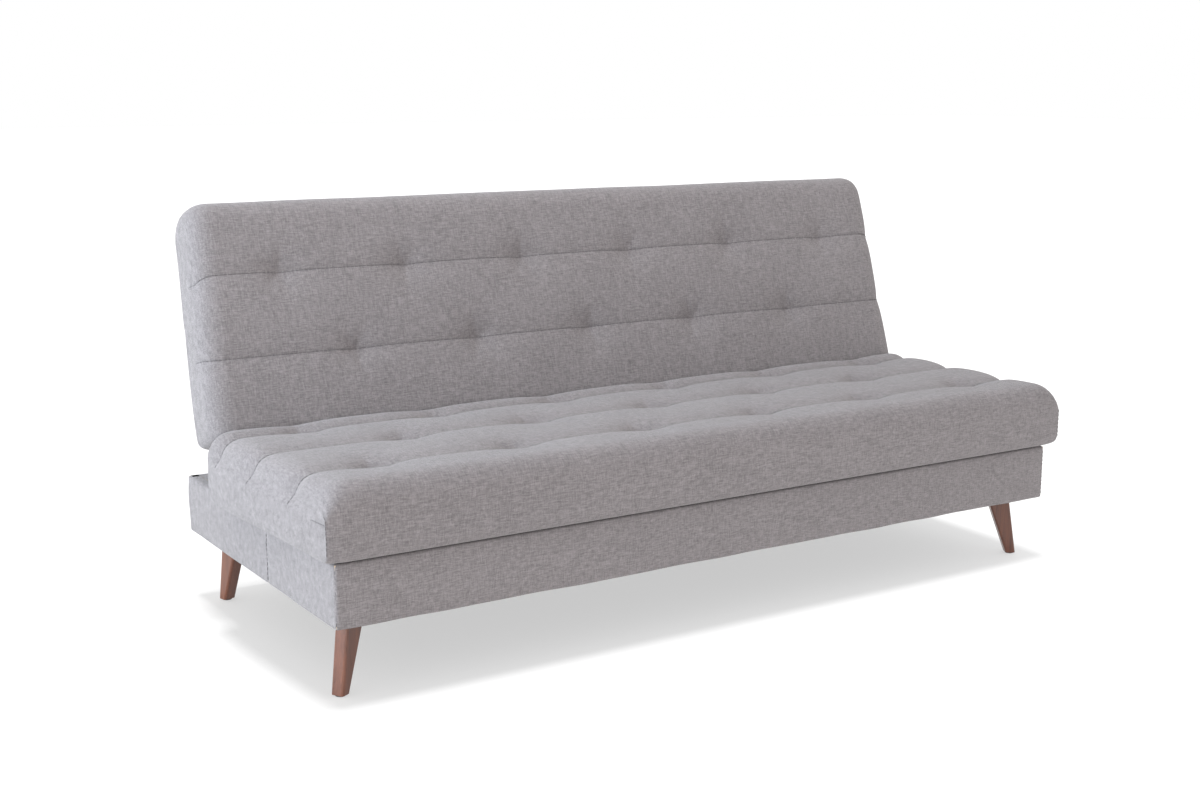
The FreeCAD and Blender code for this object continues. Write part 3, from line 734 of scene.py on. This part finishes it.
def seam_keys(plan, xs, ys, zs, line):
    """Grid keys of one channel: up the left end, over the top and down the right end."""
    j = min(range(len(ys)), key=lambda n: abs(ys[n] - line))
    top = len(zs) - 1
    down = [k for k in range(top) if zs[k] > plan.high.z - plan.seam_drop + 0.01]
    keys = [(0, j, k) for k in down]
    keys += [(i, j, top) for i in range(len(xs))]
    keys += [(len(xs) - 1, j, k) for k in reversed(down)]
    return keys


def crease_rows(piece, rows):
    """Keep the sewn lines sharp when the cover is smoothed."""
    pairs = {frozenset(pair) for row in rows for pair in zip(row, row[1:])}
    layer = piece.data.attributes.new("crease_edge", "FLOAT", "EDGE")
    for edge in piece.data.edges:
        if frozenset(edge.vertices) in pairs:
            layer.data[edge.index].value = 0.85


def apply_modifiers(piece):
    """Bake a piece's modifiers into its mesh."""
    evaluated = piece.evaluated_get(bpy.context.evaluated_depsgraph_get())
    mesh = bpy.data.meshes.new_from_object(evaluated)
    piece.modifiers.clear()
    piece.data = mesh


def slot_boxes(low_x, high_x, low_y, high_y, low_z, high_z):
    """Two boxes, one each side of the middle, as one mesh."""
    verts, faces = [], []
    for near, far in ((-high_x, -low_x), (low_x, high_x)):
        base = len(verts)
        verts += [Vector((x, y, z)) for x in (near, far) for y in (low_y, high_y) for z in (low_z, high_z)]
        faces += [[base + n for n in quad] for quad in
                  ((0, 1, 3, 2), (4, 6, 7, 5), (0, 4, 5, 1), (2, 3, 7, 6), (0, 2, 6, 4), (1, 5, 7, 3))]
    return verts, faces


def cut_slots(piece, verts, faces):
    """Open a cushion where the hinge plates and arms pass through it."""
    mesh = bpy.data.meshes.new("slot_cutter")
    mesh.from_pydata([tuple(v) for v in verts], [], faces)
    cutter = bpy.data.objects.new("slot_cutter", mesh)
    bpy.context.scene.collection.objects.link(cutter)
    opening = piece.modifiers.new("slots", "BOOLEAN")
    opening.operation = "DIFFERENCE"
    opening.solver = "EXACT"
    opening.object = cutter
    apply_modifiers(piece)
    bpy.data.objects.remove(cutter)
    piece.data.polygons.foreach_set("use_smooth", [True] * len(piece.data.polygons))


def thread_piece(name, paths, body, lift):
    """Running stitches along several seams as one piece."""
    verts, faces = [], []
    for path in paths:
        raised = [p + lift for p in path]
        more_verts, more_faces = stitches(raised)
        base = len(verts)
        verts += more_verts
        faces += [[base + v for v in face] for face in more_faces]
    return new_piece(name, verts, faces, finish("thread"), body)


def spaced(count, pitch, shift=0.0):
    """Evenly spaced marks about the middle."""
    return [(n - (count - 1) / 2) * pitch + shift for n in range(count)]


class FUTON_OT_seat_cushion(bpy.types.Operator):
    """Sew and stuff the seat: three channels, seventeen blind tufts and stitched corners"""
    bl_idname = "futon.seat_cushion"
    bl_label = "Seat cushion"

    def execute(self, context):
        low, high = (Vector(c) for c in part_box("seat_cover"))
        front = low.y
        low += Vector((0.0, 0.004, -0.001))
        high += Vector((0.0, 0.004, -0.001))
        seams = [front + depth for depth in (0.165, 0.358, 0.528)]
        tufts = [spaced(6, 0.3135), spaced(5, 0.3140), spaced(6, 0.3135)]
        radii = {(False, True): 0.046, (True, True): 0.017, (False, False): 0.020, (True, False): 0.020}
        ends = {"length": 0.050, "top": 0.050, "foot": 0.004, "front": 0.004, "rear": 0.006, "dome": 0.008}
        flare = ((-0.011, 0.013), (0.002, 0.014))
        plan = CushionPlan(low, high, seams, tufts, radii, ends, 0.070, 1.0, flare, Matrix.Identity(4))
        piece, paths = sew_cushion("seat_cushion", plan, "seat", finish("upholstery"), True)
        apply_modifiers(piece)
        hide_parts("seat_cover", "seat_foam")
        thread_piece("seat_stitching", paths, "seat", Vector((0, 0, 0.0004)))
        return {"FINISHED"}


class FUTON_OT_back_cushion(bpy.types.Operator):
    """Sew and stuff the back: two channels and eleven blind tufts, leaned about the hinge"""
    bl_idname = "futon.back_cushion"
    bl_label = "Back cushion"

    def execute(self, context):
        ease = context.scene.futon_cushions.back_ease
        lean = back_lean()
        low, high = upright_box("back_cover", lean)
        aside, lining_room = 0.012, 0.0012
        flat_low = Vector((low.x + aside, low.z + 0.001, lining_room - high.y))
        flat_high = Vector((high.x + aside, high.z + 0.002, -low.y))
        upright = Matrix.Rotation(math.pi / 2, 4, "X")
        tilt = Matrix.Translation(HINGE) @ Matrix.Rotation(-lean, 4, "X") @ upright
        seams = [0.162, 0.347]
        tufts = [spaced(5, 0.306, 0.02), spaced(6, 0.306, 0.02)]
        radii = {(False, True): 0.018, (True, True): 0.050, (False, False): 0.016, (True, False): 0.050}
        ends = {"length": 0.044, "top": 0.034, "foot": 0.008, "front": 0.016, "rear": 0.034, "dome": 0.003}
        flare = ((0.023, 0.001), (0.014, 0.021))
        plan = CushionPlan(flat_low, flat_high, seams, tufts, radii, ends, 0.060, ease, flare, tilt)
        piece, paths = sew_cushion("back_cushion", plan, "back", finish("back_upholstery"), False)
        apply_modifiers(piece)
        inner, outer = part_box("hinge_plate_right")[0][0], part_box("hinge_plate_right")[1][0]
        beyond, slot_top, slot_depth = 0.05, 0.024, 0.0195
        verts, faces = slot_boxes(inner - 0.014, outer + 0.013, flat_low.y - beyond, slot_top,
                                  -high.y - beyond, slot_depth)
        cut_slots(piece, [tilt @ v for v in verts], faces)
        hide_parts("back_cover", "back_foam")
        thread_piece("back_stitching", paths, "back", Vector((0, -0.0004, 0)))
        return {"FINISHED"}


# ---- Base cover ----------------------------------------------------------------------------------

def loop_points(low, high, radius, pitch, marks_y):
    """A level loop round a box with rounded corners, anticlockwise: (place, outward normal) pairs."""
    points = []
    corner_steps = 5
    stretches = (((low.x, low.y), (high.x, low.y), (0, -1)), ((high.x, low.y), (high.x, high.y), (1, 0)),
                 ((high.x, high.y), (low.x, high.y), (0, 1)), ((low.x, high.y), (low.x, low.y), (-1, 0)))
    for start, end, out in stretches:
        start, end, out = Vector(start), Vector(end), Vector(out)
        along = (end - start).normalized()
        first, last = start + along * radius, end - along * radius
        count = round((last - first).length / pitch)
        row = [first.lerp(last, n / count) for n in range(count + 1)]
        if out.x:
            for mark in marks_y:
                row += [Vector((first.x, mark + d)) for d in (-0.003, 0, 0.003)]
            row.sort(key=lambda p: (p - first).length)
        points += [(p, out) for p in row]
        centre = last - out * radius
        turned = Vector((-out.y, out.x))
        for step in range(1, corner_steps):
            angle = math.pi / 2 * step / corner_steps
            ray = out * math.cos(angle) + turned * math.sin(angle)
            points.append((centre + ray * radius, ray))
    return points


class FUTON_OT_base_cover(bpy.types.Operator):
    """Stretch the fabric sleeve over the box, hemmed under it and over its top edge"""
    bl_idname = "futon.base_cover"
    bl_label = "Base cover"

    def execute(self, context):
        low, high = (Vector(c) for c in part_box("base_cover"))
        low.z -= 0.003
        hem, roll = 0.021, 0.005
        seam_y = low.y + 0.345
        loop = loop_points(low, high, roll, 0.014, [seam_y])
        profile = [(hem, 0.0), (hem * 0.5, 0.0), (roll, 0.0), (roll * 0.3, roll * 0.3), (0.0, roll)]
        height = high.z - low.z
        rows = 12
        profile += [(0.0, roll + (height - 2 * roll) * n / rows) for n in range(1, rows)]
        profile += [(0.0, height - roll), (roll * 0.3, height - roll * 0.3), (roll, height)]
        profile += [(hem * 0.5, height), (hem, height)]
        verts, faces = [], []
        for place, out in loop:
            for inset, up in profile:
                level = up / height
                wall = 1.0 if inset < roll * 0.5 else 0.0
                wander = noise.noise(Vector((place.x * 6, place.y * 6, level * 1.5)))
                ripple = noise.noise(Vector((place.x * 22, place.y * 22, level * 3 + 7)))
                bulge = math.sin(math.pi * min(max(level, 0.03), 0.97))
                swell = wall * (0.0014 + 0.0016 * wander + 0.0007 * ripple) * bulge
                near_seam = math.exp(-((place.y - seam_y) / 0.0035) ** 2)
                seam = wall * 0.0016 * near_seam if abs(out.x) > 0.9 else 0.0
                corner = wall * 0.0010 * (1 - max(abs(out.x), abs(out.y))) * 3
                hang = -0.0018 * noise.noise(Vector((place.x * 9, place.y * 9, 3)))
                hang *= 1 - smooth(level, 0.0, 0.25)
                at = place - out * (inset - swell + seam + corner)
                verts.append(Vector((at.x, at.y, low.z + up + hang * (1 if level < 0.3 else 0))))
        across = len(profile)
        for n in range(len(loop)):
            here, there = n * across, ((n + 1) % len(loop)) * across
            for k in range(across - 1):
                faces.append([here + k, there + k, there + k + 1, here + k + 1])
        piece = new_piece("base_sleeve", verts, faces, finish("upholstery"), "base")
        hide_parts("base_cover")
        ups = [low.z + 0.006 + (height - 0.012) * n / 8 for n in range(9)]
        lines = []
        for mark_x in (low.x, high.x):
            out = -1 if mark_x < 0 else 1
            lines.append([Vector((mark_x - out * 0.0004, seam_y, up)) for up in ups])
        inward = roll * (1 - math.sqrt(0.5))
        for x in (low.x + inward, high.x - inward):
            for y in (low.y + inward, high.y - inward):
                lines.append([Vector((x, y, up)) for up in ups])
        thread_piece("base_stitching", lines, "base", Vector((0, 0, 0)))
        self.deck()
        return {"FINISHED"}

    def deck(self):
        """The fabric on the rear deck, with a turned front edge."""
        deck_low, deck_high = (Vector(c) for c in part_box("deck_cover"))
        board_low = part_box("rear_deck")[0]
        xs = stops(deck_low.x, deck_high.x, 0.02)
        profile = [(deck_low.y - 0.0008, board_low[2] + 0.002), (deck_low.y - 0.0012, deck_high.z - 0.006),
                   (deck_low.y - 0.0004, deck_high.z - 0.0018), (deck_low.y + 0.003, deck_high.z)]
        steps = 7
        profile += [(deck_low.y + 0.003 + (deck_high.y - deck_low.y - 0.003) * n / steps, deck_high.z)
                    for n in range(1, steps + 1)]
        verts, faces = [], []
        for x in xs:
            for number, (y, z) in enumerate(profile):
                rise = 0.0008 * noise.noise(Vector((x * 8, y * 14, 1))) if number > 3 else 0
                verts.append(Vector((x, y, z + abs(rise))))
        across = len(profile)
        for i in range(len(xs) - 1):
            for k in range(across - 1):
                a, b = i * across + k, (i + 1) * across + k
                faces.append([a, b, b + 1, a + 1])
        piece = new_piece("deck_sleeve", verts, faces, finish("upholstery"), "base")
        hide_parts("deck_cover")


class FUTON_OT_back_cloth(bpy.types.Operator):
    """Staple the lining over the rear of the back"""
    bl_idname = "futon.back_cloth"
    bl_label = "Back lining"

    def execute(self, context):
        lean = back_lean()
        low, high = upright_box("back_rear_cloth", lean)
        place = Matrix.Translation(HINGE) @ Matrix.Rotation(-lean, 4, "X")
        xs, zs = stops(low.x, high.x, 0.02), stops(low.z, high.z, 0.02)
        verts, faces = [], []
        for x in xs:
            for z in zs:
                edge = min(x - low.x, high.x - x, z - low.z, high.z - z)
                sag = 0.0004 * smooth(edge, 0, 0.05) * (1 + noise.noise(Vector((x * 5, z * 9, 2))))
                verts.append(place @ Vector((x, high.y - sag * 0.4 + 0.0008, z)))
        deep = len(zs)
        for i in range(len(xs) - 1):
            for k in range(deep - 1):
                a, b = i * deep + k, (i + 1) * deep + k
                faces.append([b, a, a + 1, b + 1])
        piece = new_piece("back_lining", verts, faces, finish("lining"), "back")
        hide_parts("back_rear_cloth")
        return {"FINISHED"}


# ---- Frame finishes ------------------------------------------------------------------------------

class FUTON_OT_frame_finishes(bpy.types.Operator):
    """Give every frame part its own wood, steel, plastic or rubber finish"""
    bl_idname = "futon.frame_finishes"
    bl_label = "Frame finishes"

    def execute(self, context):
        for entry in frame["record"]["subparts"]:
            node = frame["nodes"][entry["node"]]
            node.data.materials.clear()
            node.data.materials.append(finish(entry["material_slot"]))
        return {"FINISHED"}


# ---- Stage ---------------------------------------------------------------------------------------

def hang_lamp(name, kind, place, target, spread, power, tint, lit):
    """A soft light that falls on the listed objects: a square of the given width, or a sun of that angle."""
    data = bpy.data.lights.new(name, kind)
    if kind == "AREA":
        data.shape = "SQUARE"
        data.size = spread
    else:
        data.angle = spread
    data.energy = power
    data.color = tint
    lamp = bpy.data.objects.new(name, data)
    lamp.location = place
    lamp.rotation_euler = (Vector(target) - Vector(place)).to_track_quat("-Z", "Y").to_euler()
    bpy.context.scene.collection.objects.link(lamp)
    receivers = bpy.data.collections.new(name + "_receivers")
    for thing in lit:
        receivers.objects.link(thing)
    lamp.light_linking.receiver_collection = receivers


class FUTON_OT_stage(bpy.types.Operator):
    """Lay the floor, hang the lamps and stand the camera"""
    bl_idname = "futon.stage"
    bl_label = "Stage"

    def execute(self, context):
        settings = context.scene.futon_stage
        bpy.ops.mesh.primitive_plane_add(size=80, location=(0, 0, 0))
        floor = context.object
        floor.name = "floor"
        material, bench, shader, coords = material_bench("pale_floor")
        tone = bench.noise(coords.outputs["Object"], 1.5, 2.0, 0.5)
        bench.wire(bench.colours(tone, (0.34, 0.34, 0.34), (0.36, 0.36, 0.36)), shader.inputs["Base Color"])
        shader.inputs["Roughness"].default_value = 0.9
        shader.inputs["Emission Color"].default_value = (1, 1, 1, 1)
        shader.inputs["Emission Strength"].default_value = settings.floor_glow
        floor.data.materials.append(material)
        world = bpy.data.worlds.new("studio")
        world.use_nodes = True
        surround = world.node_tree.nodes["Background"].inputs
        surround["Color"].default_value = (1, 1, 1, 1)
        surround["Strength"].default_value = 1.0
        context.scene.world = world
        context.scene.view_settings.view_transform = "Standard"
        pieces = [p for p in context.scene.collection.objects if p.type == "MESH" and p != floor]
        hang_lamp("left_window", "AREA", (-4.6, 0.0, 1.6), (0, 0, 0.3), 2.4, 252, (0.73, 0.88, 1.0), pieces)
        hang_lamp("top_soft", "AREA", (-0.9, 0.2, 3.6), (0, -0.1, 0.3), 3.0, 50, (1.0, 0.98, 0.98), pieces)
        hang_lamp("front_fill", "AREA", (-3.9, -4.0, 0.7), (-0.2, 0, 0.4), 1.8, 40, (1.0, 0.96, 0.92), pieces)
        hang_lamp("floor_sun", "SUN", (0, 0, 5), (0, 0, 0), 0.22, 3.6, (1, 1, 1), [floor])
        data = bpy.data.cameras.new("view")
        data.lens = settings.lens
        data.sensor_width = 36
        data.clip_end = 200
        camera = bpy.data.objects.new("view", data)
        camera.location = settings.camera_place
        camera.rotation_euler = (math.pi / 2 - settings.tilt, 0, settings.azimuth)
        context.scene.collection.objects.link(camera)
        context.scene.camera = camera
        return {"FINISHED"}


# ---- Panel and running ---------------------------------------------------------------------------

class FUTON_PT_panel(bpy.types.Panel):
    """Lists the steps that build the sofa bed"""
    bl_label = "Futon sofa bed"
    bl_idname = "FUTON_PT_panel"
    bl_space_type = "VIEW_3D"
    bl_region_type = "UI"
    bl_category = "Futon"

    def draw(self, context):
        for operator in OPERATORS:
            self.layout.operator(operator.bl_idname)


OPERATORS = (FUTON_OT_frame_finishes, FUTON_OT_base_cover, FUTON_OT_seat_cushion, FUTON_OT_back_cushion,
             FUTON_OT_back_cloth, FUTON_OT_stage)
SETTINGS = {"futon_cushions": FutonCushionSettings, "futon_fabric": FutonFabricSettings,
            "futon_stage": FutonStageSettings}


def register():
    for settings in SETTINGS.values():
        bpy.utils.register_class(settings)
    for name, settings in SETTINGS.items():
        setattr(bpy.types.Scene, name, bpy.props.PointerProperty(type=settings))
    for operator in (*OPERATORS, FUTON_PT_panel):
        bpy.utils.register_class(operator)


def unregister():
    for operator in (FUTON_PT_panel, *reversed(OPERATORS)):
        bpy.utils.unregister_class(operator)
    for name in SETTINGS:
        delattr(bpy.types.Scene, name)
    for settings in SETTINGS.values():
        bpy.utils.unregister_class(settings)


def main():
    register()
    bpy.ops.futon.frame_finishes()
    bpy.ops.futon.base_cover()
    bpy.ops.futon.seat_cushion()
    bpy.ops.futon.back_cushion()
    bpy.ops.futon.back_cloth()
    bpy.ops.futon.stage()


if __name__ == "__main__":
    main()
